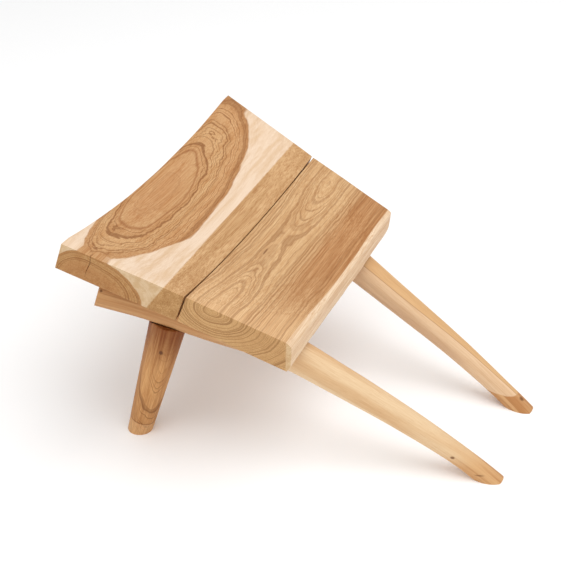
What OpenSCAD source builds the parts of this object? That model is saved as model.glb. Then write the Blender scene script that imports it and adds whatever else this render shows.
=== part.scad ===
// A low milking stool with a sloping seat. Two dished teak planks lie side by side on two long
// curved branches. Each branch carries both planks and runs on to the floor as a long leg. A short
// tapered leg is tenoned into the underside of each branch near the high edge of the seat.
//
// Frame: the floor is z = 0, +X runs from the high edge of the seat towards the long legs, the
// planks' grain runs along Y, and the origin is below the middle of the stool's bounding box.
// "Right" is the -Y side. Inside seat_frame() the seat's top plane is z = 0 and x is the distance
// from the high edge.

/* [Seat] */
// Seat measured across the grain, from the high edge to the low edge
seat_depth = 250; // [220:5:280]
// Width of the seat along its high edge
width_high = 375; // [350:5:420]
// Width of the seat at the seam between the two planks
width_seam = 324; // [310:2:350]
// Width of the seat along its low edge
width_low = 286; // [270:2:306]
// Distance from the high edge to the middle of the seam
seam_at = 133; // [126:1:140]
// Open gap between the two planks
seam_gap = 2.4; // [0.8:0.2:4]
// Thickness of the seat at the high edge
thick_high = 33.5; // [31:0.5:36]
// Thickness of the seat at the low edge
thick_low = 36.5; // [33:0.5:37]
// Slope of the seat towards the low edge, in degrees
seat_slope = 20; // [18:0.5:22]
// Height of the seat's top corners at the high edge
high_edge_z = 255.5; // [250:0.5:270]

/* [Shaping] */
// Radius of the hollow worked along the grain
dish_radius = 800; // [700:20:1000]
// Depth of the hollow at the high edge
dish_high = 19; // [10:0.5:22]
// Depth of the hollow at the seam
dish_seam = 17; // [8:0.5:19]
// Depth of the hollow at the low edge
dish_low = 5; // [1:0.5:8]
// How far the high edge bows in at its middle
high_edge_bow = 4; // [1:0.5:6]
// How far the natural edge on the low side leans out below the top
low_edge_flare = 6.5; // [1:0.5:9]

/* [Branch legs] */
// Distance from the high edge to the sawn end of a branch
branch_inset = 43.5; // [40:0.5:52]
// Distance from the high edge to the upright toe cut, measured level
toe_reach = 446.5; // [430:0.5:450]

/* [Short legs] */
// Distance from the high edge at which a short leg's axis meets its branch
short_leg_at = 116.5; // [112:0.5:122]
// Diameter of a short leg at its shoulder
short_leg_top_d = 40.5; // [34:0.5:44]
// Diameter of a short leg at the floor
short_leg_foot_d = 27.5; // [22:0.5:32]
// Lean of a short leg towards the low edge, from the seat's normal, in degrees
short_leg_rake = 5.7; // [3:0.1:9]
// Outward lean of a short leg, in degrees
short_leg_splay = 5; // [0:0.1:8]
// Diameter of the round tenon on top of a short leg
tenon_d = 22; // [18:0.5:24]

/* [Screws] */
// Length of a wood screw
screw_len = 50; // [44:1:52]
// Outer diameter of the screw's thread
screw_d = 5; // [4:0.5:6]
// Diameter of the countersunk head
screw_head_d = 9.6; // [8:0.2:11]
// Depth of the head below the wood
screw_recess = 3; // [2:0.5:5]

/* [Hidden] */

heartwood = "#c79355";
sapwood = "#dcb87f";
branch_wood = "#d9ad72";
short_leg_wood = "#b07a43";
screw_steel = "#8e9196";

over = 1;                 // how far a cutting shape runs past what it cuts
fit_gap = 0.1;            // glue line between a tenon and its mortise
saddle_gap = 1.1;         // mean open gap where a short leg's shoulder saddles the round branch
saddle_twist = -3;        // turn of the saddle about the leg, which widens the gap to one side

// A branch's centre line: [distance from the high edge, distance from the middle plane,
// depth below the top plane, diameter]
branch_route = [
    [branch_inset, 161, 51.8, 38.4],
    [98, 139, 52, 38],
    [157, 120, 52.5, 38.2],
    [222, 98.3, 53.7, 38],
    [299, 86.1, 61.6, 32.8],
    [388, 75.2, 72.6, 26.8],
    [457, 67, 85.3, 23],
    [504, 62.6, 98.6, 24.2],
    [545, 57.5, 114, 24]
];
branch_sides = 28;        // facets around a branch
steps_per_span = 4;       // rings between two points of the route
screw_stations = [68, 92, 162, 212];   // the screws' distances from the high edge

seam_thick = thick_high + (thick_low - thick_high) * seam_at / seat_depth;
end_taper = (width_seam - width_low) / 2 / (seat_depth - seam_at);
low_corner_x = -thick_high * sin(seat_slope);
frame_x = -(low_corner_x + toe_reach) / 2;   // places the high edge so that the box is centred

shoulder_below = 14;      // from the branch's centre line down to a short leg's flat shoulder
tenon_above = 8;          // from the branch's centre line up to the tenon's end
tenon_below = 22;         // from the branch's centre line down to where the tenon joins the leg
short_leg_run = 173;      // from the branch's centre line down to the floor, along a short leg

// ---------- curve of a branch ----------

// Point of a smooth curve through p1 and p2, at t = 0 to 1, with neighbours p0 and p3
function curve_point(p0, p1, p2, p3, t) =
    0.5 * (2 * p1 + (p2 - p0) * t + (2 * p0 - 5 * p1 + 4 * p2 - p3) * pow(t, 2)
           + (3 * p1 - p0 - 3 * p2 + p3) * pow(t, 3));

// Station s of the route, where whole numbers are its points
function route_at(s) =
    let (last = len(branch_route) - 1,
         i = max(0, min(floor(s), last - 1)),
         before = i > 0 ? branch_route[i - 1] : 2 * branch_route[0] - branch_route[1],
         after = i < last - 1 ? branch_route[i + 2]
                              : 2 * branch_route[last] - branch_route[last - 1])
    curve_point(before, branch_route[i], branch_route[i + 1], after, s - i);

// Station at which the route is x from the high edge, by halving the interval
function station_at(x, low = 0, high = len(branch_route) - 1, turns = 24) =
    let (mid = (low + high) / 2)
    turns == 0 ? mid
               : route_at(mid)[0] < x ? station_at(x, mid, high, turns - 1)
                                      : station_at(x, low, mid, turns - 1);

// Centre of a right-hand branch at station s, in the seat's frame, and its direction
function branch_centre(s) = let (p = route_at(s)) [p[0], -p[1], -p[2]];
function branch_heading(s) = unit(branch_centre(s + 0.01) - branch_centre(s - 0.01));
function unit(v) = v / norm(v);

// One ring of points around a branch, square to its centre line
function branch_ring(s) =
    let (ahead = branch_heading(s),
         across = unit(cross([0, 0, 1], ahead)),
         above = cross(ahead, across),
         radius = route_at(s)[3] / 2)
    [for (k = [0 : branch_sides - 1])
        let (turn = 360 * k / branch_sides)
        branch_centre(s) + radius * (cos(turn) * across + sin(turn) * above)];

// ---------- frames and shared cutters ----------

// The seat's own frame: z = 0 is its top plane and x runs down the slope
module seat_frame() {
    translate([frame_x, 0, high_edge_z])
        rotate([0, seat_slope, 0])
            children();
}

// Copies its children to the left-hand side
module left_side() {
    mirror([0, 1, 0])
        children();
}

// Puts the children's z axis along a right-hand short leg, pointing down from the branch's centre
module short_leg_frame() {
    lean = unit([tan(short_leg_rake), -tan(short_leg_splay), -1]);
    translate(branch_centre(station_at(short_leg_at)))
        rotate([0, acos(lean[2]), atan2(lean[1], lean[0])])
            children();
}

// Places the children on each right-hand screw axis, z up, at the branch's lower surface
module right_screws() {
    for (x = screw_stations) {
        route = route_at(station_at(x));
        translate([x, -route[1], -route[2] - route[3] / 2])
            children();
    }
}

// Everything below the floor
module below_floor() {
    translate([-seat_depth * 2, -width_high, -high_edge_z])
        cube([seat_depth * 4, width_high * 2, high_edge_z]);
}

// ---------- seat ----------

// Plan of the whole seat, wide at the high edge, running a little past the low edge
module seat_plan() {
    past = seat_depth + low_edge_flare + over;
    half_past = width_low / 2 - end_taper * (past - seat_depth);
    right_edge = [[0, -width_high / 2], [seam_at, -width_seam / 2], [past, -half_past]];
    left_edge = [[past, half_past], [seam_at, width_seam / 2], [0, width_high / 2]];
    translate([0, 0, -thick_low - over])
        linear_extrude(thick_low + 2 * over)
            polygon(concat(right_edge, left_edge));
}

// A plank's cross-section, given as [x, z] points, run along the grain
module along_grain(section) {
    translate([0, width_high / 2, 0])
        rotate([90, 0, 0])
            linear_extrude(width_high)
                polygon(section);
}

// The hollow, as a round trough that is depth_a deep at xa and depth_b deep at xb
module trough(xa, depth_a, xb, depth_b) {
    rise = atan((depth_a - depth_b) / (xb - xa));
    translate([xa, 0, dish_radius - depth_a])
        rotate([0, 90 - rise, 0])
            translate([0, 0, -seat_depth])
                cylinder(r = dish_radius, h = 3 * seat_depth, $fn = 360);
}

// The shallow bow of the high edge
module high_edge_cut() {
    bow_radius = pow(width_high / 2, 2) / (2 * high_edge_bow);
    translate([high_edge_bow - bow_radius, 0, -thick_high - over])
        cylinder(r = bow_radius, h = thick_high + 2 * over, $fn = 1440);
}

// Holes that the screws' threads hold in
module thread_holes() {
    right_screws()
        cylinder(d = screw_d + fit_gap, h = screw_len + screw_recess + over, $fn = 32);
}

module seat_plank_high() {
    section = [
        [0, 0], [seam_at - seam_gap / 2, 0],
        [seam_at - seam_gap / 2, -seam_thick], [0, -thick_high]
    ];
    color(heartwood)
        seat_frame()
            difference() {
                intersection() {
                    along_grain(section);
                    seat_plan();
                }
                trough(0, dish_high, seam_at, dish_seam);
                high_edge_cut();
                thread_holes();
                left_side() thread_holes();
            }
}

module seat_plank_low() {
    // The natural edge leans out, fullest at two thirds of the way down
    natural_edge = [
        for (t = [0 : 0.125 : 1])
            [seat_depth + low_edge_flare * sin(125 * t), -thick_low * t]
    ];
    section = concat([[seam_at + seam_gap / 2, 0]], natural_edge,
                     [[seam_at + seam_gap / 2, -seam_thick]]);
    color(sapwood)
        seat_frame()
            difference() {
                intersection() {
                    along_grain(section);
                    seat_plan();
                }
                trough(seam_at, dish_seam, seat_depth, dish_low);
                thread_holes();
                left_side() thread_holes();
            }
}

// ---------- branch legs ----------

// The round branch before it is flattened, sawn off and bored
module branch_round() {
    stations = (len(branch_route) - 1) * steps_per_span;
    rings = [for (i = [0 : stations]) branch_ring(i / steps_per_span)];
    points = [for (ring = rings, p = ring) p];
    walls = [
        for (i = [0 : stations - 1], k = [0 : branch_sides - 1])
            let (next = (k + 1) % branch_sides,
                 a = i * branch_sides + k, b = i * branch_sides + next)
            each [[a, b, b + branch_sides], [a, b + branch_sides, a + branch_sides]]
    ];
    first_cap = [for (k = [branch_sides - 1 : -1 : 0]) k];
    last_cap = [for (k = [0 : branch_sides - 1]) stations * branch_sides + k];
    polyhedron(points, concat(walls, [first_cap, last_cap]), convexity = 4);
}

// The space taken by the planks, which leaves the flat bearing on top of a branch
module plank_space() {
    low_end = seat_depth + low_edge_flare + over;
    low_end_z = -thick_high - (thick_low - thick_high) * low_end / seat_depth;
    along_grain([[-over, thick_low], [low_end, thick_low], [low_end, low_end_z], [-over, -thick_high]]);
}

// Blind round socket for a short leg's tenon
module mortise() {
    short_leg_frame()
        translate([0, 0, -tenon_above - over])
            cylinder(d = tenon_d, h = tenon_above + short_leg_at, $fn = 64);
}

// Clearance hole and countersink for each screw
module screw_ways() {
    right_screws() {
        translate([0, 0, -over])
            cylinder(d = screw_head_d + 0.4, h = screw_recess + over, $fn = 48);
        translate([0, 0, screw_recess])
            cylinder(d1 = screw_head_d + 0.4, d2 = screw_d + 0.4,
                     h = (screw_head_d - screw_d) / 2, $fn = 48);
        cylinder(d = screw_d + 0.4, h = screw_len + screw_recess, $fn = 32);
    }
}

module branch_leg_solid() {
    difference() {
        seat_frame()
            difference() {
                branch_round();
                plank_space();
                mortise();
                screw_ways();
            }
        below_floor();
        translate([frame_x + toe_reach, -width_high, 0])
            cube([seat_depth, width_high * 2, high_edge_z]);
    }
}

module branch_leg_right() {
    color(branch_wood)
        branch_leg_solid();
}

module branch_leg_left() {
    color(branch_wood)
        left_side() branch_leg_solid();
}

// ---------- short legs ----------

// The branch's own round form at the joint, which saddles the shoulder of a short leg
module saddle() {
    station = station_at(short_leg_at);
    heading = branch_heading(station);
    translate(branch_centre(station))
        rotate([0, acos(heading[2]), atan2(heading[1], heading[0]) + saddle_twist])
            translate([0, 0, -short_leg_top_d])
                cylinder(d = route_at(station)[3] + 2 * saddle_gap, h = 2 * short_leg_top_d, $fn = 96);
}

module short_leg_solid() {
    taper = (short_leg_top_d - short_leg_foot_d) / (short_leg_run - shoulder_below);
    spare = 20;   // length below the floor, sawn off level
    difference() {
        seat_frame() {
            difference() {
                short_leg_frame()
                    translate([0, 0, shoulder_below])
                        cylinder(d1 = short_leg_top_d,
                                 d2 = short_leg_foot_d - taper * spare,
                                 h = short_leg_run - shoulder_below + spare, $fn = 96);
                saddle();
            }
            short_leg_frame()
                translate([0, 0, -tenon_above])
                    cylinder(d = tenon_d - 2 * fit_gap, h = tenon_above + tenon_below, $fn = 64);
        }
        below_floor();
    }
}

module short_leg_right() {
    color(short_leg_wood)
        short_leg_solid();
}

module short_leg_left() {
    color(short_leg_wood)
        left_side() short_leg_solid();
}

// ---------- screws ----------

// One countersunk wood screw, pointing up, its head's face at z = 0
module wood_screw() {
    head_h = (screw_head_d - screw_d) / 2;
    core_r = screw_d * 0.34;
    pitch = 2.2;
    thread_from = 18;
    turns = floor((screw_len - thread_from - 5) / pitch);
    thread = [
        for (i = [0 : turns - 1])
            let (z = thread_from + i * pitch)
            each [[core_r, z], [screw_d / 2, z + 0.5 * pitch], [core_r, z + 0.7 * pitch]]
    ];
    half_section = concat(
        [[0, 0], [screw_head_d / 2, 0], [screw_head_d / 2, 0.4], [screw_d * 0.42, head_h + 0.4],
         [screw_d * 0.42, thread_from - 1]],
        thread,
        [[core_r, screw_len - 5], [0, screw_len]]
    );
    slot_w = 1.3;
    slot_len = screw_head_d * 0.55;
    slot_deep = 2;
    difference() {
        rotate_extrude($fn = 48)
            polygon(half_section);
        for (turn = [0, 90])
            rotate([0, 0, turn])
                translate([-slot_len / 2, -slot_w / 2, -over])
                    cube([slot_len, slot_w, slot_deep + over]);
    }
}

module right_screw_set() {
    seat_frame()
        right_screws()
            translate([0, 0, screw_recess])
                wood_screw();
}

module plank_screws() {
    color(screw_steel) {
        right_screw_set();
        left_side() right_screw_set();
    }
}

seat_plank_high();
seat_plank_low();
branch_leg_right();
branch_leg_left();
short_leg_right();
short_leg_left();
plank_screws();
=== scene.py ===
"""Looks of the low milking stool: two dished teak planks on two branch legs and two short legs.

Lengths are in metres. The row frame has the floor at z = 0 and +X running from the seat's high edge
to the long legs' feet. The seat frame has z = 0 on the seat's top plane and x running down its slope.
"""

import math

import bmesh
import bpy
from mathutils import Matrix, Vector, noise


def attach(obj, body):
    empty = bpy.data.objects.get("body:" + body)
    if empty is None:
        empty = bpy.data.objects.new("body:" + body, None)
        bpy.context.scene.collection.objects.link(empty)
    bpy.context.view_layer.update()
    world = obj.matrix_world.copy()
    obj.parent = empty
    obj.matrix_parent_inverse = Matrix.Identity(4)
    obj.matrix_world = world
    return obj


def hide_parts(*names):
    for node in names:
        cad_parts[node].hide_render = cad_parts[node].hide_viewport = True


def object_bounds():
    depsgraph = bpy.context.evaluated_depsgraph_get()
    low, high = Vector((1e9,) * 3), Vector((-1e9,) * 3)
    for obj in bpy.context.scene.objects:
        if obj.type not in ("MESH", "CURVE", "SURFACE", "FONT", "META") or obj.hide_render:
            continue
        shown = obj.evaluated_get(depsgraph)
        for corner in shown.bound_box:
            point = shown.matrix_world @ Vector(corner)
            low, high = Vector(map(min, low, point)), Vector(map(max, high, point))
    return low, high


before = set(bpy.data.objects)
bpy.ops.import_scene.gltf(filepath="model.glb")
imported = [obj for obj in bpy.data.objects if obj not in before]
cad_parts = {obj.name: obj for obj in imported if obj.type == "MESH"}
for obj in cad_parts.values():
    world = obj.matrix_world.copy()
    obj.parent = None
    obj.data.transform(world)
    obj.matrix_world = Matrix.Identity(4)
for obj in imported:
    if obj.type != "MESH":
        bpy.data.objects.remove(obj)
cad_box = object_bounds()
box_low, box_high = (Vector(corner) for corner in cad_box)

MM = 0.001

# ---------- design sizes, as in the CAD ----------

SLOPE = math.radians(20)
SEAT_DEPTH = 250 * MM
SEAM_AT = 133 * MM
HALF_HIGH = 187.5 * MM
HALF_SEAM = 162 * MM
HALF_LOW = 143 * MM
THICK_HIGH = 33.5 * MM
THICK_LOW = 36.5 * MM
DISH_RADIUS = 800 * MM
DISH_HIGH = 19 * MM
DISH_SEAM = 17 * MM
DISH_LOW = 5 * MM
HIGH_EDGE_BOW = 4 * MM

# The low plank's natural edge swells out below its top corner: by up to the flare, as a sine that
# starts at the top and has turned by so many degrees at the underside
LOW_EDGE_FLARE = 6.5 * MM
LOW_EDGE_TURN = 125

SHORT_LEG_AT = 116.5 * MM
SHORT_LEG_TOP_R = 20.25 * MM
SHORT_LEG_FOOT_R = 13.75 * MM
SHORT_LEG_RAKE = math.radians(5.7)
SHORT_LEG_SPLAY = math.radians(5)
SHOULDER_BELOW = 14 * MM
TENON_ABOVE = 8 * MM
TENON_R = 10.9 * MM
MORTISE_ABOVE = 9 * MM
MORTISE_R = 11 * MM
SADDLE_GAP = 1.1 * MM
SADDLE_TWIST = math.radians(-3)
SCREW_STATIONS = [68 * MM, 92 * MM, 162 * MM, 212 * MM]
SCREW_HEAD_R = 5 * MM
SCREW_RECESS = 3 * MM
SCREW_CONE = 2.3 * MM
SCREW_HOLE_R = 2.7 * MM

# Centre line of a branch in the seat frame, in millimetres: distance from the high edge, distance
# from the middle plane, depth below the top plane, diameter
BRANCH_ROUTE = [Vector(point) * MM for point in (
    (43.5, 161, 51.8, 38.4),
    (98, 139, 52, 38),
    (157, 120, 52.5, 38.2),
    (222, 98.3, 53.7, 38),
    (299, 86.1, 61.6, 32.8),
    (388, 75.2, 72.6, 26.8),
    (457, 67, 85.3, 23),
    (504, 62.6, 98.6, 24.2),
    (545, 57.5, 114, 24),
)]

# ---------- sizes of the looks only ----------

# Widths of the rounded edges, and the bend in degrees that counts as an edge on a round piece
EASED_EDGE = 0.6 * MM
BRANCH_EDGE = 0.7 * MM
SHARP_BEND = 38

# Half the seam's gap, in the middle of the seat and at its ends
SEAM_HALF_GAP = (0.45 * MM, 1.1 * MM)

# Where the low plank's natural edge starts to roll over, and how fast it drops from there
ROLLED_FROM = 243 * MM
ROLLED_CURVE = 50

# Chamfers on the branches' toes: height above the floor, and how far the cut leans from upright
TOE_CUTS = [(3 * MM, -0.8), (4.5 * MM, 0.9)]
TOE_CUT_BACK = 0.4 * MM

# The line turned round the short legs near the foot, and the length made below the floor to saw off
FOOT_LINE_ABOVE = 17 * MM
FOOT_LINE_DEPTH = 0.25 * MM
FOOT_LINE_WIDTH = 0.7 * MM
TRIMMED_OFF = 18 * MM

BRANCH_RINGS = 240
BRANCH_SIDES = 72
SHORT_LEG_RINGS = 64
SHORT_LEG_SIDES = 96
CUTTER_SIDES = 40

# Sides of the stool's middle plane, as the sign of Y
RIGHT = -1
LEFT = 1

# Knots and stains, in the row frame and in millimetres: place, and reach each way
RIGHT_BRANCH_KNOTS = [
    ((174.5, -79.8, 26.6), (3.4, 2.6, 2.4)),
    ((-183, -174.7, 199.6), (2, 2, 2)),
    ((203, -73, 9), (8, 6, 1.6)),
]
LEFT_BRANCH_KNOTS = [
    ((214.6, 63, 12.6), (6, 4, 3)),
    ((199, 51, 8), (2, 2, 2)),
]
RIGHT_LEG_KNOTS = [
    ((-130, -154.3, 122.4), (3, 3, 4)),
]

# Where the drying crack runs down the high plank's end, in the seat frame and in millimetres:
# distance from the high edge, height above the top plane, half its width
CRACK_PATH = [
    (32.3, 1.5, 0.45),
    (33.2, -4, 0.5),
    (34.3, -9, 0.42),
    (33.4, -15, 0.5),
    (32.6, -22, 0.34),
    (32.9, -29, 0.14),
]

seat_to_row = (
    Matrix.Translation((box_low.x + THICK_HIGH * math.sin(SLOPE), 0, box_high.z))
    @ Matrix.Rotation(SLOPE, 4, "Y")
)
row_to_seat = seat_to_row.inverted()
seat_up = seat_to_row.to_3x3() @ Vector((0, 0, 1))


def lerp(a, b, t):
    """The value t of the way from a to b."""
    return a + (b - a) * t


def half_width(x):
    """Half the seat's width at x from the high edge."""
    if x < SEAM_AT:
        return lerp(HALF_HIGH, HALF_SEAM, x / SEAM_AT)
    return lerp(HALF_SEAM, HALF_LOW, (x - SEAM_AT) / (SEAT_DEPTH - SEAM_AT))


def dish_depth(x, y):
    """Depth of the hollow below the seat's top plane."""
    if x < SEAM_AT:
        deepest = lerp(DISH_HIGH, DISH_SEAM, x / SEAM_AT)
    else:
        deepest = lerp(DISH_SEAM, DISH_LOW, (x - SEAM_AT) / (SEAT_DEPTH - SEAM_AT))
    rise = DISH_RADIUS - math.sqrt(DISH_RADIUS ** 2 - y * y)
    return max(deepest - rise, 0)


def thickness(x):
    """The planks' thickness at x from the high edge, measured from the seat's top plane."""
    return lerp(THICK_HIGH, THICK_LOW, x / SEAT_DEPTH)


def wobble(*place, size=1.0):
    """Smooth noise between about -size and size at a place given in its own wavelengths."""
    return size * noise.noise(Vector((place + (0, 0))[:3]))


# ---------- meshes ----------

def new_object(name, bm):
    """Turns a bmesh into an object in the row frame."""
    bmesh.ops.recalc_face_normals(bm, faces=bm.faces)
    mesh = bpy.data.meshes.new(name)
    bm.to_mesh(mesh)
    bm.free()
    piece = bpy.data.objects.new(name, mesh)
    bpy.context.scene.collection.objects.link(piece)
    return piece


def bake_modifiers(piece):
    """Replaces the piece's mesh with the result of its modifiers."""
    graph = bpy.context.evaluated_depsgraph_get()
    graph.update()
    baked = bpy.data.meshes.new_from_object(piece.evaluated_get(graph))
    piece.modifiers.clear()
    piece.data = baked


def cut_away(piece, cutters):
    """Cuts the closed cutter objects out of the piece and deletes them."""
    for cutter in cutters:
        boolean = piece.modifiers.new("cut", "BOOLEAN")
        boolean.operation = "DIFFERENCE"
        boolean.solver = "EXACT"
        boolean.object = cutter
    bake_modifiers(piece)
    for cutter in cutters:
        bpy.data.objects.remove(cutter)


def ease_edges(piece, width, angle=40):
    """Rounds edges sharper than angle, in degrees, and shades the piece smooth."""
    bevel = piece.modifiers.new("eased edges", "BEVEL")
    bevel.width = width
    bevel.segments = 2
    bevel.limit_method = "ANGLE"
    bevel.angle_limit = math.radians(angle)
    bake_modifiers(piece)
    piece.data.shade_smooth()
    piece.data.set_sharp_from_angle(angle=math.radians(50))


def store_grain(piece, grain_of):
    """Writes each vertex's place in the wood: along the grain, then the two ways across it."""
    layer = piece.data.attributes.new("grain", "FLOAT_VECTOR", "POINT")
    for vertex, value in zip(piece.data.vertices, layer.data):
        value.vector = grain_of(vertex.co)


def finish_wood(piece, node, material):
    """Hands the piece to the frame and gives it its material."""
    piece.data.materials.clear()
    piece.data.materials.append(material)
    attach(piece, "root")
    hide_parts(node)


def block(name, place, counts):
    """A closed block of quads. place(u, v, w) maps the unit cube to the seat frame."""
    bm = bmesh.new()
    nu, nv, nw = counts
    made = {}

    def corner(i, j, k):
        if (i, j, k) not in made:
            made[i, j, k] = bm.verts.new(seat_to_row @ place(i / nu, j / nv, k / nw))
        return made[i, j, k]

    def sheet(n, m, key):
        for p in range(n):
            for q in range(m):
                bm.faces.new([corner(*key(p, q)), corner(*key(p + 1, q)),
                              corner(*key(p + 1, q + 1)), corner(*key(p, q + 1))])

    for end in (0, nv):
        sheet(nu, nw, lambda p, q: (p, end, q))
    for end in (0, nu):
        sheet(nv, nw, lambda p, q: (end, p, q))
    for end in (0, nw):
        sheet(nu, nv, lambda p, q: (p, q, end))
    return new_object(name, bm)


def tube(name, rings, first_centre, last_centre):
    """A closed tube through rings of points, with a fan at each end."""
    bm = bmesh.new()
    rows = [[bm.verts.new(point) for point in ring] for ring in rings]
    count = len(rings[0])
    for row, next_row in zip(rows, rows[1:]):
        for k in range(count):
            m = (k + 1) % count
            bm.faces.new([row[k], row[m], next_row[m], next_row[k]])
    for row, centre in ((rows[0], first_centre), (rows[-1], last_centre)):
        hub = bm.verts.new(centre)
        for k in range(count):
            bm.faces.new([row[k], row[(k + 1) % count], hub])
    return new_object(name, bm)


def slice_off(piece, point, normal):
    """Cuts the piece with a plane, drops the side that normal points to, and closes the cut."""
    bm = bmesh.new()
    bm.from_mesh(piece.data)
    cut = bmesh.ops.bisect_plane(bm, geom=bm.verts[:] + bm.edges[:] + bm.faces[:],
                                 plane_co=point, plane_no=normal, clear_outer=True)
    rim = [item for item in cut["geom_cut"] if isinstance(item, bmesh.types.BMEdge)]
    bmesh.ops.holes_fill(bm, edges=rim, sides=0)
    bmesh.ops.recalc_face_normals(bm, faces=bm.faces)
    bm.to_mesh(piece.data)
    bm.free()


def disc_tool(name, foot, direction, radii_at):
    """A closed turned cutter. radii_at is a list of (distance along direction, radius)."""
    facing = direction.to_track_quat("Z", "Y").to_matrix().to_4x4()
    to_place = Matrix.Translation(foot) @ facing
    turns = [2 * math.pi * k / CUTTER_SIDES for k in range(CUTTER_SIDES)]
    rings = [
        [to_place @ Vector((r * math.cos(turn), r * math.sin(turn), d)) for turn in turns]
        for d, r in radii_at
    ]
    return tube(name, rings, to_place @ Vector((0, 0, radii_at[0][0])),
                to_place @ Vector((0, 0, radii_at[-1][0])))


# ---------- planks ----------

def seam_half_gap(w):
    """Half the open seam, a little tighter in the middle of the seat than at its ends."""
    return lerp(*SEAM_HALF_GAP, (2 * w - 1) ** 4)


def high_plank_place(u, v, w):
    """The high plank's edge is bowed in and slightly uneven. t runs from -1 to 1 across the stool."""
    t = 2 * w - 1
    left = HIGH_EDGE_BOW * (1 - (t + 0.2) ** 2 * 0.8) + wobble(w * 7, 3.1, v, size=0.5 * MM)
    right = SEAM_AT - seam_half_gap(w)
    x = lerp(left, right, u)
    y = t * half_width(x)
    top = -dish_depth(x, y) + wobble(x * 25, y * 14, size=0.25 * MM)
    return Vector((x, y, lerp(-thickness(x), top, v)))


def low_plank_place(u, v, w):
    """The low plank's natural edge flares out below, is uneven along, and rolls over at the top."""
    t = 2 * w - 1
    left = SEAM_AT + seam_half_gap(w)
    flare = LOW_EDGE_FLARE * math.sin(math.radians(LOW_EDGE_TURN * (1 - v)))
    rough = wobble(w * 6, 8.4, v * 1.5, size=1.1 * MM) + wobble(w * 21, 2.7, v * 3, size=0.4 * MM)
    right = SEAT_DEPTH + flare * (0.93 + 0.07 * math.sin(5 * t)) + min(rough, 0.2 * MM) * (1.2 - v)
    x = lerp(left, right, u)
    y = t * half_width(x)
    top = -dish_depth(x, y) + wobble(x * 25, y * 14, 5, size=0.25 * MM)
    rolled = max(x - ROLLED_FROM - 2 * MM * t - wobble(w * 9, 6.3, size=1.2 * MM), 0)
    top -= ROLLED_CURVE * rolled ** 2
    return Vector((x, y, lerp(-thickness(min(x, SEAT_DEPTH)), top, v)))


def plank_grain(point):
    """Along the grain is across the stool, then down the slope, then up through the thickness."""
    local = row_to_seat @ point
    return (local.y, local.x, local.z)


def end_crack():
    """A thin wandering wedge that opens the drying crack in the high plank's right-hand end."""
    bm = bmesh.new()
    rows = []
    for x, z, half_gap in CRACK_PATH:
        face_y = -half_width(x * MM) - 1 * MM
        deep_y = face_y + (3 + 10 * half_gap) * MM
        left = seat_to_row @ Vector(((x - half_gap) * MM, face_y, z * MM))
        right = seat_to_row @ Vector(((x + half_gap) * MM, face_y, z * MM))
        deep = seat_to_row @ Vector((x * MM, deep_y, z * MM))
        rows.append([bm.verts.new(point) for point in (left, right, deep)])
    for row, next_row in zip(rows, rows[1:]):
        for k in range(3):
            m = (k + 1) % 3
            bm.faces.new([row[k], row[m], next_row[m], next_row[k]])
    bm.faces.new(rows[0])
    bm.faces.new(rows[-1])
    return new_object("crack_tool", bm)


# ---------- branch legs ----------

def route_at(station):
    """Point of the branch's smooth centre line; whole stations are the route's own points."""
    last = len(BRANCH_ROUTE) - 1
    i = max(0, min(math.floor(station), last - 1))
    t = station - i
    p1, p2 = BRANCH_ROUTE[i], BRANCH_ROUTE[i + 1]
    p0 = BRANCH_ROUTE[i - 1] if i > 0 else 2 * p1 - p2
    p3 = BRANCH_ROUTE[i + 2] if i < last - 1 else 2 * p2 - p1
    return 0.5 * (2 * p1 + (p2 - p0) * t + (2 * p0 - 5 * p1 + 4 * p2 - p3) * t ** 2
                  + (3 * p1 - p0 - 3 * p2 + p3) * t ** 3)


def station_at(x):
    """Station at which the route is x from the high edge."""
    low, high = 0.0, len(BRANCH_ROUTE) - 1.0
    for _ in range(30):
        middle = (low + high) / 2
        if route_at(middle)[0] < x:
            low = middle
        else:
            high = middle
    return low


def branch_centre(station, side):
    """Point of a branch's centre line in the row frame. side is LEFT or RIGHT."""
    point = route_at(station)
    return seat_to_row @ Vector((point[0], side * point[1], -point[2]))


def branch_axes(station, side):
    """The branch's direction at a station, and two directions square to it."""
    ahead = (branch_centre(station + 0.01, side) - branch_centre(station - 0.01, side)).normalized()
    across = Vector((0, 0, 1)).cross(ahead).normalized()
    return ahead, across, ahead.cross(across)


def branch_skin(distance, turn, seed):
    """How far the natural surface strays from round, as a share of the radius."""
    around = Vector((math.cos(turn), math.sin(turn)))
    slow = noise.noise(Vector((distance * 9 + seed, around.x * 0.8, around.y * 0.8)))
    fast = noise.noise(Vector((distance * 32 + seed, around.x * 1.6, around.y * 1.6)))
    return 0.035 * slow + 0.012 * fast


last_station = len(BRANCH_ROUTE) - 1
branch_stations = [last_station * i / BRANCH_RINGS for i in range(BRANCH_RINGS + 1)]


def branch_round(name, side, seed):
    """One whole branch, before anything is cut from it."""
    rings = []
    distance = 0.0
    previous = branch_centre(0, side)
    for station in branch_stations:
        centre = branch_centre(station, side)
        distance += (centre - previous).length
        previous = centre
        _, across, above = branch_axes(station, side)
        radius = route_at(station)[3] / 2
        ring = []
        for k in range(BRANCH_SIDES):
            turn = 2 * math.pi * k / BRANCH_SIDES
            r = radius * (1 + branch_skin(distance, turn, seed))
            ring.append(centre + r * (math.cos(turn) * across + math.sin(turn) * above))
        rings.append(ring)
    return tube(name, rings, branch_centre(0, side), branch_centre(last_station, side))


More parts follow.
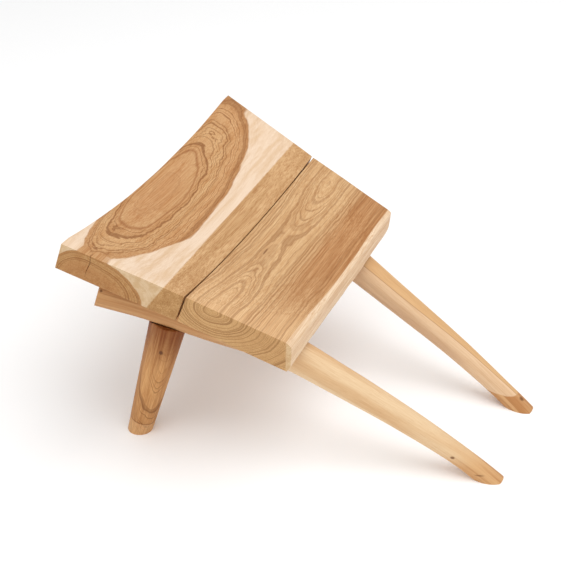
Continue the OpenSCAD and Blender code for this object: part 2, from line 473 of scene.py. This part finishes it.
def saw_branch(piece):
    """Saws the flat that bears on the planks, the foot level with the floor, and the blunt toe."""
    lean = math.atan2(THICK_LOW - THICK_HIGH, SEAT_DEPTH)
    slice_off(piece, seat_to_row @ Vector((0, 0, -THICK_HIGH)), Matrix.Rotation(lean, 3, "Y") @ seat_up)
    slice_off(piece, Vector((0, 0, 0)), Vector((0, 0, -1)))
    slice_off(piece, Vector((box_high.x, 0, 0)), Vector((1, 0, 0)))
    for height, slant in TOE_CUTS:
        edge = Vector((box_high.x - TOE_CUT_BACK, 0, height))
        slice_off(piece, edge, Vector((1, 0, slant)).normalized())


def bore_branch(piece, side):
    """Bores the short leg's mortise and the four countersunk screw ways. Each tool runs well clear."""
    joint, axis = short_leg_line(side)
    cutters = [disc_tool("mortise_tool", joint, axis, [(-MORTISE_ABOVE, MORTISE_R), (40 * MM, MORTISE_R)])]
    profile = [
        (-4 * MM, SCREW_HEAD_R),
        (SCREW_RECESS, SCREW_HEAD_R),
        (SCREW_RECESS + SCREW_CONE, SCREW_HOLE_R),
        (60 * MM, SCREW_HOLE_R),
    ]
    for x in SCREW_STATIONS:
        point = route_at(station_at(x))
        foot = seat_to_row @ Vector((x, side * point[1], -point[2] - point[3] / 2))
        cutters.append(disc_tool("screw_tool", foot, seat_up, profile))
    cut_away(piece, cutters)


def store_branch_grain(piece, side):
    """The grain follows the branch: along its centre line, outwards and upwards from it."""
    centres = [branch_centre(station, side) for station in branch_stations]
    axes = [branch_axes(station, side) for station in branch_stations]
    lengths = [0.0]
    for a, b in zip(centres, centres[1:]):
        lengths.append(lengths[-1] + (b - a).length)

    def grain(point):
        nearest = min(range(len(centres)), key=lambda i: (centres[i] - point).length_squared)
        ahead, across, above = axes[nearest]
        offset = point - centres[nearest]
        return (lengths[nearest] + offset.dot(ahead), offset.dot(across) * side, offset.dot(above))

    store_grain(piece, grain)


def branch_leg(name, side, seed):
    """One branch with its bearing flat, sawn ends, mortise and screw ways."""
    piece = branch_round(name, side, seed)
    saw_branch(piece)
    bore_branch(piece, side)
    ease_edges(piece, BRANCH_EDGE, angle=SHARP_BEND)
    store_branch_grain(piece, side)
    return piece


# ---------- short legs ----------

def short_leg_line(side):
    """Where a short leg's axis meets its branch, and the axis's direction, pointing down."""
    joint = branch_centre(station_at(SHORT_LEG_AT), side)
    lean = Vector((math.tan(SHORT_LEG_RAKE), side * math.tan(SHORT_LEG_SPLAY), -1)).normalized()
    return joint, seat_to_row.to_3x3() @ lean


def short_leg_axes(side):
    """The joint, the leg's axis, and two directions square to it: along the branch and across."""
    joint, axis = short_leg_line(side)
    ahead = branch_axes(station_at(SHORT_LEG_AT), side)[0]
    ahead = Matrix.Rotation(-side * SADDLE_TWIST, 3, seat_up) @ ahead
    ahead = (ahead - ahead.dot(axis) * axis).normalized()
    return joint, axis, ahead, axis.cross(ahead)


saddle_r = route_at(station_at(SHORT_LEG_AT))[3] / 2 + SADDLE_GAP


def shoulder_at(ring_r, turn):
    """How far below the joint the shoulder is: it follows the round branch and stops at a flat."""
    off = ring_r * math.sin(turn)
    dip = math.sqrt(max(saddle_r ** 2 - off ** 2, 0))
    return max(dip, SHOULDER_BELOW)


def short_leg(name, side, seed):
    """A tapered leg with a saddled shoulder and a round tenon."""
    joint, axis, ahead, across = short_leg_axes(side)
    to_floor = joint.z / -axis.z
    last = to_floor + TRIMMED_OFF
    turns = [2 * math.pi * k / SHORT_LEG_SIDES for k in range(SHORT_LEG_SIDES)]

    def at(along, ring_r, turn):
        """Point ring_r from the axis, so far along it from the joint."""
        return joint + axis * along + ring_r * (math.cos(turn) * ahead + math.sin(turn) * across)

    def skin(along, turn):
        """The leg's radius: tapered, slightly uneven, with a thin line cut round it near the foot."""
        share = (along - SHOULDER_BELOW) / (to_floor - SHOULDER_BELOW)
        line = math.exp(-((along - to_floor + FOOT_LINE_ABOVE) / FOOT_LINE_WIDTH) ** 2)
        uneven = 0.012 * noise.noise(Vector((along * 14 + seed, math.cos(turn), math.sin(turn))))
        return lerp(SHORT_LEG_TOP_R, SHORT_LEG_FOOT_R, share) * (1 + uneven) - FOOT_LINE_DEPTH * line

    rings = [[at(-TENON_ABOVE, TENON_R * share, turn) for turn in turns] for share in (0.5, 0.93)]
    rings.append([at(-TENON_ABOVE + 0.8 * MM, TENON_R, turn) for turn in turns])
    for share in (0, 0.2, 0.4, 0.6, 0.8, 0.93):
        r = lerp(TENON_R, SHORT_LEG_TOP_R, share)
        rings.append([at(shoulder_at(r, turn), r, turn) for turn in turns])
    for i in range(SHORT_LEG_RINGS + 1):
        ring = []
        for turn in turns:
            start = shoulder_at(SHORT_LEG_TOP_R, turn) + EASED_EDGE
            along = lerp(start, last, i / SHORT_LEG_RINGS)
            ring.append(at(along, skin(along, turn), turn))
        rings.append(ring)
    piece = tube(name, rings, at(-TENON_ABOVE, 0, 0), at(last, 0, 0))
    slice_off(piece, Vector((0, 0, 0)), Vector((0, 0, -1)))
    ease_edges(piece, EASED_EDGE, angle=SHARP_BEND)

    def grain(point):
        offset = point - joint
        return (offset.dot(axis), offset.dot(ahead), offset.dot(across) * -side)

    store_grain(piece, grain)
    return piece


# ---------- materials ----------

def colour(red, green, blue):
    """Linear colour from 0-255 display values."""
    def linear(value):
        share = value / 255
        return share / 12.92 if share <= 0.04045 else ((share + 0.055) / 1.055) ** 2.4
    return (linear(red), linear(green), linear(blue), 1)


class Net:
    """Short calls for building a material's nodes. An input is a number, a colour or another output."""

    def __init__(self, name):
        self.material = bpy.data.materials.new(name)
        self.material.use_nodes = True
        self.tree = self.material.node_tree
        self.shader = self.tree.nodes["Principled BSDF"]

    def add(self, kind, **settings):
        """A new node with these settings."""
        node = self.tree.nodes.new(kind)
        for key, value in settings.items():
            setattr(node, key, value)
        return node

    def feed(self, socket, value):
        """Links an output to the socket, or sets the socket to a plain value."""
        if isinstance(value, bpy.types.NodeSocket):
            self.tree.links.new(value, socket)
        elif value is not None:
            socket.default_value = value

    def math(self, operation, a, b=None, c=None):
        """The operation's result. MULTIPLY_ADD is a times b plus c."""
        node = self.add("ShaderNodeMath", operation=operation)
        for socket, value in zip(node.inputs, (a, b, c)):
            self.feed(socket, value)
        return node.outputs[0]

    def vector(self, operation, a, b=None, scale=None):
        node = self.add("ShaderNodeVectorMath", operation=operation)
        self.feed(node.inputs[0], a)
        if scale is None:
            self.feed(node.inputs[1], b)
        else:
            node.inputs["Scale"].default_value = scale
        return node.outputs["Value" if operation == "LENGTH" else "Vector"]

    def join(self, x, y, z):
        """A vector from three numbers."""
        node = self.add("ShaderNodeCombineXYZ")
        for socket, value in zip(node.inputs, (x, y, z)):
            self.feed(socket, value)
        return node.outputs[0]

    def split(self, vector):
        """A vector's three numbers."""
        node = self.add("ShaderNodeSeparateXYZ")
        self.feed(node.inputs[0], vector)
        return node.outputs

    def noise(self, place, scale=1.0, detail=2.0, roughness=0.5, dims="3D", output="Fac"):
        """Smooth noise at a place: a vector, or one number where dims is 1D."""
        node = self.add("ShaderNodeTexNoise", noise_dimensions=dims)
        self.feed(node.inputs["W" if dims == "1D" else "Vector"], place)
        node.inputs["Scale"].default_value = scale
        node.inputs["Detail"].default_value = detail
        node.inputs["Roughness"].default_value = roughness
        return node.outputs[output]

    def step(self, value, low, high, to_low=0.0, to_high=1.0):
        """Goes smoothly from to_low, at low and below, to to_high, at high and above."""
        node = self.add("ShaderNodeMapRange", interpolation_type="SMOOTHSTEP")
        for socket, item in zip(node.inputs, (value, low, high, to_low, to_high)):
            self.feed(socket, item)
        return node.outputs[0]

    def ridge(self, value, foot, top, fall, end):
        """Rises from 0 to 1 between foot and top, and falls back to 0 between fall and end."""
        return self.math("MULTIPLY", self.step(value, foot, top), self.step(value, fall, end, 1.0, 0.0))

    def ramp(self, value, stops):
        """A colour from a list of (value, colour) stops."""
        node = self.add("ShaderNodeValToRGB")
        elements = node.color_ramp.elements
        while len(elements) > 1:
            elements.remove(elements[-1])
        elements[0].position, elements[0].color = stops[0]
        for place, tone in stops[1:]:
            elements.new(place).color = tone
        self.feed(node.inputs[0], value)
        return node.outputs[0]

    def mix(self, share, a, b, blend="MIX"):
        """Colour a where share is 0, and colour b, or a blended with b, where it is 1."""
        node = self.add("ShaderNodeMix", data_type="RGBA", blend_type=blend)
        sockets = {socket.identifier: socket for socket in node.inputs}
        self.feed(sockets["Factor_Float"], share)
        self.feed(sockets["A_Color"], a)
        self.feed(sockets["B_Color"], b)
        return next(socket for socket in node.outputs if socket.identifier == "Result_Color")

    def tint(self, tone, where, strength, paint):
        """Paints over the tone, as far as where times strength."""
        return self.mix(self.math("MULTIPLY", where, strength), tone, paint)

    def shade(self, tone, share, filter_colour):
        """Multiplies the tone by a filter colour, as far as share."""
        return self.mix(share, tone, self.mix(1.0, tone, filter_colour, "MULTIPLY"))

    def bump(self, height, distance, strength):
        """A normal for relief of so many metres."""
        node = self.add("ShaderNodeBump")
        self.feed(node.inputs["Height"], height)
        node.inputs["Distance"].default_value = distance
        node.inputs["Strength"].default_value = strength
        return node.outputs[0]


def grain_place(net):
    """The stored place in the wood, in millimetres: along the grain and the two ways across it."""
    node = net.add("ShaderNodeAttribute", attribute_name="grain")
    millimetres = net.vector("SCALE", node.outputs["Vector"], scale=1000.0)
    return net.split(millimetres)


def stretched(net, along, a, b, per_along, per_across, detail, roughness=0.5):
    """Noise drawn out along the grain, with so many waves per millimetre each way."""
    place = net.join(
        net.math("MULTIPLY", along, per_along),
        net.math("MULTIPLY", a, per_across),
        net.math("MULTIPLY", b, per_across),
    )
    return net.noise(place, detail=detail, roughness=roughness)


def fibre_layers(net, along, a, b):
    """Fine fibres, long soft streaks and pores, all drawn out along the grain."""
    fibres = stretched(net, along, a, b, per_along=0.02, per_across=1.3, detail=3, roughness=0.65)
    streaks = stretched(net, along, a, b, per_along=0.0035, per_across=0.16, detail=4, roughness=0.6)
    pores = net.step(stretched(net, along, a, b, per_along=0.10, per_across=2.2, detail=1), 0.63, 0.73)
    return fibres, streaks, pores


def dress(net, tone, fibres, pores, ring_relief, end_share=None, fibre_share=0.62):
    """Adds fibres and pores to the tone and sets the shader's colour, gloss and relief.

    end_share is where sawn ends are, which look duller. fibre_share is how strongly the fibres show.
    """
    tone = net.shade(tone, net.step(fibres, 0.36, 0.66, 0.0, fibre_share), colour(218, 190, 160))
    tone = net.shade(tone, net.math("MULTIPLY", pores, 0.40), colour(186, 144, 106))
    if end_share is not None:
        tone = net.shade(tone, end_share, colour(236, 230, 211))
    net.feed(net.shader.inputs["Base Color"], tone)
    net.feed(net.shader.inputs["Roughness"], net.step(fibres, 0.3, 0.7, 0.52, 0.64))
    net.shader.inputs["Specular IOR Level"].default_value = 0.25
    relief = net.math("SUBTRACT", net.math("MULTIPLY", fibres, 0.5), pores)
    relief = net.math("ADD", relief, net.math("MULTIPLY", ring_relief, 0.6))
    net.feed(net.shader.inputs["Normal"], net.bump(relief, distance=0.12 * MM, strength=0.7))
    return net.material


def facing_end(net):
    """1 on faces square to the planks' grain, which is the Y direction, and 0 elsewhere."""
    normal = net.split(net.add("ShaderNodeNewGeometry").outputs["Normal"])
    return net.step(net.math("ABSOLUTE", normal[1]), 0.75, 0.9)


def warped(net, along, a, b, size):
    """The two ways across the grain, pushed about gently along the board, by up to half of size."""
    place = net.join(
        net.math("MULTIPLY", along, 0.011),
        net.math("MULTIPLY", a, 0.022),
        net.math("MULTIPLY", b, 0.022),
    )
    slow = net.noise(place, detail=3.0, output="Color")
    push = net.split(net.vector("SUBTRACT", slow, (0.5, 0.5, 0.5)))
    return net.math("MULTIPLY_ADD", push[0], size, a), net.math("MULTIPLY_ADD", push[1], size, b)


def ring_radius(net, along, a, b, pith_a, drift, pith_b, rise, squash_left, squash_right):
    """Distance from the board's pith, which drifts sideways and rises along the grain."""
    off = net.math("SUBTRACT", a, net.math("MULTIPLY_ADD", along, drift, pith_a))
    right = net.math("MULTIPLY", net.math("MAXIMUM", off, 0.0), squash_right)
    left = net.math("MULTIPLY", net.math("MINIMUM", off, 0.0), squash_left)
    across = net.math("ADD", left, right)
    above = net.math("SUBTRACT", b, net.math("MULTIPLY_ADD", along, rise, pith_b))
    return net.vector("LENGTH", net.join(across, above, 0.0))


def rings(net, radius, spacing, seed=0.0):
    """Yearly rings, uneven from year to year: thin dark lines, and the soft rise in tone before them."""
    year = net.math("ADD", radius, seed)
    uneven = net.noise(year, scale=0.13, dims="1D")
    strength = net.noise(year, scale=0.4, dims="1D")
    rise = net.math("FRACT", net.math("MULTIPLY_ADD", uneven, 6.0, net.math("DIVIDE", radius, spacing)))
    line = net.math("MULTIPLY", net.ridge(rise, 0.62, 0.82, 0.88, 1.0),
                    net.step(strength, 0.33, 0.58, 0.40, 1.0))
    soft = net.math("MULTIPLY", net.math("MULTIPLY", rise, rise), net.step(rise, 0.88, 1.0, 1.0, 0.0))
    return line, soft


def rippled(net, along, radius, size):
    """The radius with the small waves that figured grain gives to the ring lines."""
    place = net.join(net.math("MULTIPLY", along, 0.045), net.math("MULTIPLY", radius, 0.09), 0.0)
    waves = net.noise(place, detail=3, roughness=0.6)
    return net.math("MULTIPLY_ADD", net.math("SUBTRACT", waves, 0.5), size, radius)


def two_tones(net, streaks, low, high, pale, dark):
    """Pale where the streaks are below low, dark where they are above high."""
    return net.mix(net.step(streaks, low, high), pale, dark)


def high_plank_heart(net, radius, line, soft, streaks):
    """Brown heartwood: a plain oval eye, a dark ring round it, then bands out to 52 mm of radius."""
    heart = net.ramp(net.step(radius, 24, 52), [
        (0.00, colour(202, 155, 108)),
        (0.155, colour(206, 164, 117)),
        (0.18, colour(172, 122, 76)),
        (0.21, colour(206, 162, 114)),
        (0.27, colour(198, 153, 105)),
        (0.34, colour(210, 168, 120)),
        (0.48, colour(214, 174, 126)),
        (0.64, colour(202, 158, 110)),
        (0.78, colour(212, 168, 120)),
        (0.92, colour(200, 154, 106)),
        (1.00, colour(188, 140, 92)),
    ])
    heart = net.shade(heart, net.step(streaks, 0.40, 0.66, 0.0, 0.5), colour(228, 204, 172))
    heart = net.tint(heart, soft, 0.25, colour(168, 120, 74))
    return net.tint(heart, line, net.step(radius, 28, 30, 0.10, 0.78), colour(146, 98, 54))


def high_plank_strip(net, fibres, streaks):
    """The straight-grained brown strip beside the seam."""
    strip = two_tones(net, streaks, 0.36, 0.66, colour(213, 174, 127), colour(194, 152, 104))
    return net.tint(strip, net.step(fibres, 0.45, 0.7), 0.35, colour(168, 122, 78))


def high_plank_wood():
    """Heartwood with an eye of rings beside a cream band of sapwood and a straight brown strip."""
    net = Net("teak_high_plank")
    along, a, b = grain_place(net)
    wa, wb = warped(net, along, a, b, size=8.0)
    radius = ring_radius(net, along, wa, wb, pith_a=21.0, drift=-0.055, pith_b=-45.0, rise=-0.0225,
                         squash_left=1.15, squash_right=0.66)
    fibres, streaks, pores = fibre_layers(net, along, a, b)
    line, soft = rings(net, rippled(net, along, radius, size=5.0), spacing=2.2, seed=340.0)
    heart = high_plank_heart(net, radius, line, soft, streaks)

    sap = two_tones(net, streaks, 0.35, 0.7, colour(232, 208, 183), colour(219, 188, 154))
    sap = net.tint(sap, line, 0.16, colour(190, 150, 112))
    # The heartwood ends at this radius, nearer the pith at the right-hand end
    heart_reach = net.step(along, -130, -60, 42.5, 50.5)
    past_heart = net.math("SUBTRACT", net.math("MULTIPLY_ADD", streaks, 3.0, radius),
                          net.math("ADD", heart_reach, 1.5))
    in_sap = net.step(past_heart, -0.5, 0.6)
    tone = net.mix(in_sap, heart, sap)
    tone = net.tint(tone, net.ridge(past_heart, -3.0, -0.3, -0.2, 0.5), 0.35, colour(172, 122, 76))

    # The strip's edge runs nearly straight along the board and leans through its thickness
    edge = net.math("MULTIPLY_ADD", along, 0.020, net.math("MULTIPLY_ADD", b, -0.27, a))
    in_strip = net.step(net.math("MULTIPLY_ADD", fibres, 1.4, edge), 106.5, 108.5)
    tone = net.mix(in_strip, tone, high_plank_strip(net, fibres, streaks))

    # The sapwood is smoother than the rest, with faint fibres and few pores
    smooth = net.math("MULTIPLY", in_sap, net.math("SUBTRACT", 1.0, in_strip))
    fibre_share = net.step(smooth, 0.0, 1.0, 0.66, 0.16)
    pores = net.math("MULTIPLY", pores, net.step(smooth, 0.0, 1.0, 1.0, 0.3))
    return dress(net, tone, fibres, pores, soft, facing_end(net), fibre_share)


def dry_split(net, along, across):
    """1 in the short thin split in the low plank's top."""
    place = net.join(
        net.math("DIVIDE", net.math("ADD", along, 21.0), 7.5),
        net.math("DIVIDE", net.math("SUBTRACT", across, 162.0), 1.1),
        0.0,
    )
    return net.step(net.vector("LENGTH", place), 0.5, 1.15, 1.0, 0.0)


def low_plank_wood():
    """Wide soft cathedrals near the seam, a warmer band and the pale natural edge on the low side."""
    net = Net("teak_low_plank")
    along, a, b = grain_place(net)
    end = facing_end(net)
    wa, wb = warped(net, along, a, b, size=12.0)
    radius = ring_radius(net, along, wa, wb, pith_a=167.0, drift=0.02, pith_b=-1.0, rise=0.0,
                         squash_left=0.85, squash_right=0.75)
    fibres, streaks, pores = fibre_layers(net, along, a, b)
    line, soft = rings(net, rippled(net, along, radius, size=2.2), spacing=4.0)

    tan = two_tones(net, streaks, 0.36, 0.66, colour(218, 181, 135), colour(204, 163, 116))
    warm = two_tones(net, streaks, 0.38, 0.62, colour(198, 150, 102), colour(176, 124, 76))
    in_warm = net.step(net.math("MULTIPLY_ADD", streaks, 20.0, a), 200, 228)
    in_warm = net.math("MULTIPLY", in_warm, net.step(along, -130, 30, 0.35, 1.0))
    tone = net.mix(in_warm, tan, warm)
    tone = net.mix(net.step(along, -150, -50, 0.55, 0.0), tone, colour(232, 194, 148))
    tone = net.tint(tone, soft, 0.20, colour(178, 130, 82))
    tone = net.tint(tone, line, net.step(end, 0.0, 1.0, 0.48, 0.6), colour(148, 102, 58))

    # The pale wood under the bark, whose inner edge leans through the board's thickness
    sap = two_tones(net, streaks, 0.35, 0.7, colour(238, 214, 184), colour(226, 194, 158))
    natural = net.math("MULTIPLY_ADD", b, 0.32, net.math("MULTIPLY_ADD", along, -0.010, a))
    natural = net.math("MULTIPLY_ADD", streaks, 2.5, natural)
    tone = net.mix(net.step(natural, 244.4, 245.4), tone, sap)
    tone = net.tint(tone, dry_split(net, along, wa), 0.75, colour(120, 76, 42))
    return dress(net, tone, fibres, pores, soft, end)


def spot(net, centre, size):
    """1 at a place in the row frame, given in millimetres, fading to 0 that far away each way."""
    place = net.vector("SCALE", net.add("ShaderNodeTexCoord").outputs["Object"], scale=1000.0)
    away = net.vector("LENGTH", net.vector("DIVIDE", net.vector("SUBTRACT", place, centre), size))
    return net.step(away, 0.35, 1.0, 1.0, 0.0)


def tan_stripe(net, tone, along, a, b, broad, streaks, stripe):
    """A tan stripe with a darker seam along the branch's outer upper side, as strong as stripe."""
    outer = net.math("MULTIPLY_ADD", a, 0.75, net.math("MULTIPLY", b, 0.65))
    outer = net.math("MULTIPLY_ADD", along, -0.02, net.math("MULTIPLY_ADD", broad, 9.0, outer))
    in_stripe = net.step(outer, 0.6, 1.4)
    tone = net.tint(tone, in_stripe, stripe, net.mix(streaks, colour(228, 188, 134), colour(200, 152, 98)))
    return net.tint(tone, net.ridge(outer, 0.2, 1.0, 1.0, 1.9), stripe * 0.8, colour(160, 110, 62))


def branch_wood(name, offset, pale, mid, brown, heart_below, heart_edge, stripe, knots):
    """Smooth peeled branch: browner under the seat, pale along the leg, brown again at the foot.

    offset moves the figure along the branch. heart_below is the height in millimetres where the foot's
    brown starts, and heart_edge is how soft that edge is. knots are places and sizes.
    """
    net = Net(name)
    along, a, b = grain_place(net)
    shifted = net.math("ADD", along, offset)
    fibres, streaks, pores = fibre_layers(net, shifted, a, b)
    broad = stretched(net, shifted, a, b, per_along=0.0035, per_across=0.05, detail=2)
    tone = net.mix(net.step(broad, 0.42, 0.58), pale, mid)
    tone = net.mix(net.step(streaks, 0.50, 0.72, 0.0, 0.6), tone, brown)
    tone = tan_stripe(net, tone, along, a, b, broad, streaks, stripe)
    under_seat = two_tones(net, streaks, 0.38, 0.62, colour(196, 148, 98), colour(172, 120, 72))
    tone = net.mix(net.step(along, 100, 250, 0.95, 0.0), tone, under_seat)
    height = net.split(net.add("ShaderNodeTexCoord").outputs["Object"])[2]
    height = net.math("MULTIPLY_ADD", streaks, 3.0, net.math("MULTIPLY", height, 1000.0))
    heart = two_tones(net, streaks, 0.38, 0.62, colour(214, 170, 120), colour(184, 130, 80))
    in_heart = net.step(height, heart_below - heart_edge, heart_below + heart_edge, 1.0, 0.0)
    tone = net.mix(in_heart, tone, heart)
    for centre, size in knots:
        tone = net.tint(tone, spot(net, centre, size), 0.85, colour(112, 70, 38))
    return dress(net, tone, fibres, net.math("MULTIPLY", pores, 0.4), streaks, fibre_share=0.25)


def nested_arches(net, along, wa, wb):
    """Rings that cross the outer face as arches, since the pith comes closer towards the foot."""
    behind = net.math("MULTIPLY_ADD", along, -0.2, 46.0)
    across = net.math("MULTIPLY_ADD", behind, 0.4, wa)
    above = net.math("MULTIPLY_ADD", behind, 0.9, wb)
    radius = net.vector("LENGTH", net.join(across, above, 0.0))
    line, soft = rings(net, rippled(net, along, radius, size=2.0), spacing=4.2)
    line = net.math("MULTIPLY", line, net.step(along, 65, 105, 0.15, 1.0))
    soft = net.math("MULTIPLY", soft, net.step(along, 65, 105, 0.4, 1.0))
    return line, soft


def short_leg_wood(name, offset, knots):
    """Brown heartwood, darkest at the shoulder from darker wood and painted shade under the branch, and
    paler below a dark line near the foot.
    """
    net = Net(name)
    along, a, b = grain_place(net)
    shifted = net.math("ADD", along, offset)
    fibres, streaks, pores = fibre_layers(net, shifted, a, b)
    wa, wb = warped(net, shifted, a, b, size=14.0)
    line, soft = nested_arches(net, along, wa, wb)
    tone = two_tones(net, streaks, 0.36, 0.66, colour(212, 162, 106), colour(184, 132, 80))
    tone = net.tint(tone, soft, 0.45, colour(150, 98, 50))
    tone = net.tint(tone, line, 0.65, colour(116, 68, 30))
    # Dark brown over the top of the leg: partly the wood's own darker heartwood, partly painted shade from
    # the branch and seat above
    dark_top_wood_and_shade = net.step(along, 15, 85, 1.0, 0.0)
    dark_top_wood_and_shade = net.math("MULTIPLY", dark_top_wood_and_shade, net.step(streaks, 0.35, 0.6, 0.7, 1.0))
    tone = net.tint(tone, dark_top_wood_and_shade, 0.97, colour(124, 62, 8))
    tone = net.tint(tone, net.step(along, 154.5, 155.5), 0.55, colour(224, 180, 130))
    cut = net.math("SUBTRACT", net.step(along, 153.2, 154.4), net.step(along, 155.0, 156.2))
    tone = net.tint(tone, cut, 0.6, colour(128, 74, 34))
    for centre, size in knots:
        tone = net.tint(tone, spot(net, centre, size), 0.8, colour(84, 44, 20))
    return dress(net, tone, fibres, pores, soft)


def screw_metal():
    """Zinc-plated steel, unevenly dulled."""
    net = Net("screw_steel")
    place = net.add("ShaderNodeTexCoord").outputs["Object"]
    cloud = net.noise(place, scale=900.0, detail=4, roughness=0.65)
    net.feed(net.shader.inputs["Base Color"], net.mix(cloud, colour(178, 178, 176), colour(132, 130, 126)))
    net.feed(net.shader.inputs["Roughness"], net.step(cloud, 0.3, 0.7, 0.28, 0.48))
    net.shader.inputs["Metallic"].default_value = 1.0
    net.feed(net.shader.inputs["Normal"], net.bump(cloud, distance=0.05 * MM, strength=0.4))
    return net.material


# ---------- the stool ----------

high_plank = block("seat_plank_high_wood", high_plank_place, counts=(44, 11, 125))
cut_away(high_plank, [end_crack()])
ease_edges(high_plank, EASED_EDGE)
store_grain(high_plank, plank_grain)
finish_wood(high_plank, "seat_plank_high", high_plank_wood())

low_plank = block("seat_plank_low_wood", low_plank_place, counts=(60, 12, 110))
ease_edges(low_plank, EASED_EDGE)
store_grain(low_plank, plank_grain)
finish_wood(low_plank, "seat_plank_low", low_plank_wood())

right_branch = branch_leg("branch_leg_right_wood", RIGHT, seed=3.0)
right_branch_wood = branch_wood(
    "branch_right",
    offset=0.0,
    pale=colour(228, 198, 158),
    mid=colour(218, 181, 137),
    brown=colour(204, 160, 112),
    heart_below=24,
    heart_edge=9,
    stripe=0.0,
    knots=RIGHT_BRANCH_KNOTS,
)
finish_wood(right_branch, "branch_leg_right", right_branch_wood)

left_branch = branch_leg("branch_leg_left_wood", LEFT, seed=41.0)
left_branch_wood = branch_wood(
    "branch_left",
    offset=900.0,
    pale=colour(226, 193, 156),
    mid=colour(212, 176, 140),
    brown=colour(206, 164, 122),
    heart_below=18,
    heart_edge=0.5,
    stripe=0.8,
    knots=LEFT_BRANCH_KNOTS,
)
finish_wood(left_branch, "branch_leg_left", left_branch_wood)

right_leg = short_leg("short_leg_right_wood", RIGHT, seed=7.0)
right_leg_wood = short_leg_wood("short_leg_right", offset=0.0, knots=RIGHT_LEG_KNOTS)
finish_wood(right_leg, "short_leg_right", right_leg_wood)

left_leg = short_leg("short_leg_left_wood", LEFT, seed=19.0)
left_leg_wood = short_leg_wood("short_leg_left", offset=500.0, knots=[])
finish_wood(left_leg, "short_leg_left", left_leg_wood)

steel = screw_metal()
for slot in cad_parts["plank_screws"].material_slots:
    slot.material = steel


# ---------- stage, light and camera ----------

def studio_floor():
    """A wide white floor under the stool."""
    bpy.ops.mesh.primitive_plane_add(size=30, location=(0, 0, 0))
    floor = bpy.context.object
    floor.name = "studio_floor"
    net = Net("floor_white")
    net.shader.inputs["Base Color"].default_value = (1.0, 1.0, 1.0, 1)
    net.shader.inputs["Roughness"].default_value = 0.9
    net.shader.inputs["Specular IOR Level"].default_value = 0.1
    floor.data.materials.append(net.material)


def soft_light(name, place, target, size, power):
    """A large round lamp that faces the target."""
    data = bpy.data.lights.new(name, "AREA")
    data.shape = "DISK"
    data.size = size
    data.energy = power
    lamp = bpy.data.objects.new(name, data)
    lamp.location = place
    lamp.rotation_euler = (Vector(target) - Vector(place)).to_track_quat("-Z", "Y").to_euler()
    bpy.context.scene.collection.objects.link(lamp)


studio_floor()
middle = (box_low + box_high) / 2
soft_light("key", middle + Vector((0.9, 0.1, 2.3)), middle, size=2.6, power=36)
soft_light("fill", middle + Vector((-0.9, -1.9, 1.2)), middle, size=2.6, power=13)

world = bpy.data.worlds.new("studio")
world.use_nodes = True
sky = world.node_tree.nodes["Background"]
sky.inputs["Color"].default_value = (1, 1, 1, 1)
sky.inputs["Strength"].default_value = 0.68
bpy.context.scene.world = world
bpy.context.scene.view_settings.view_transform = "Standard"

camera_data = bpy.data.cameras.new("camera")
camera_data.lens = 73.5
camera_data.sensor_width = 36
camera = bpy.data.objects.new("camera", camera_data)
aim = Vector((-0.0582, 0.0004, 0.1350))
azimuth = math.radians(24.34)
elevation = math.radians(34.29)
distance = 1.305
towards_camera = Vector((
    math.cos(elevation) * math.sin(azimuth),
    -math.cos(elevation) * math.cos(azimuth),
    math.sin(elevation),
))
camera.location = aim + distance * towards_camera
camera.rotation_euler = (aim - camera.location).to_track_quat("-Z", "Y").to_euler()
bpy.context.scene.collection.objects.link(camera)
bpy.context.scene.camera = camera
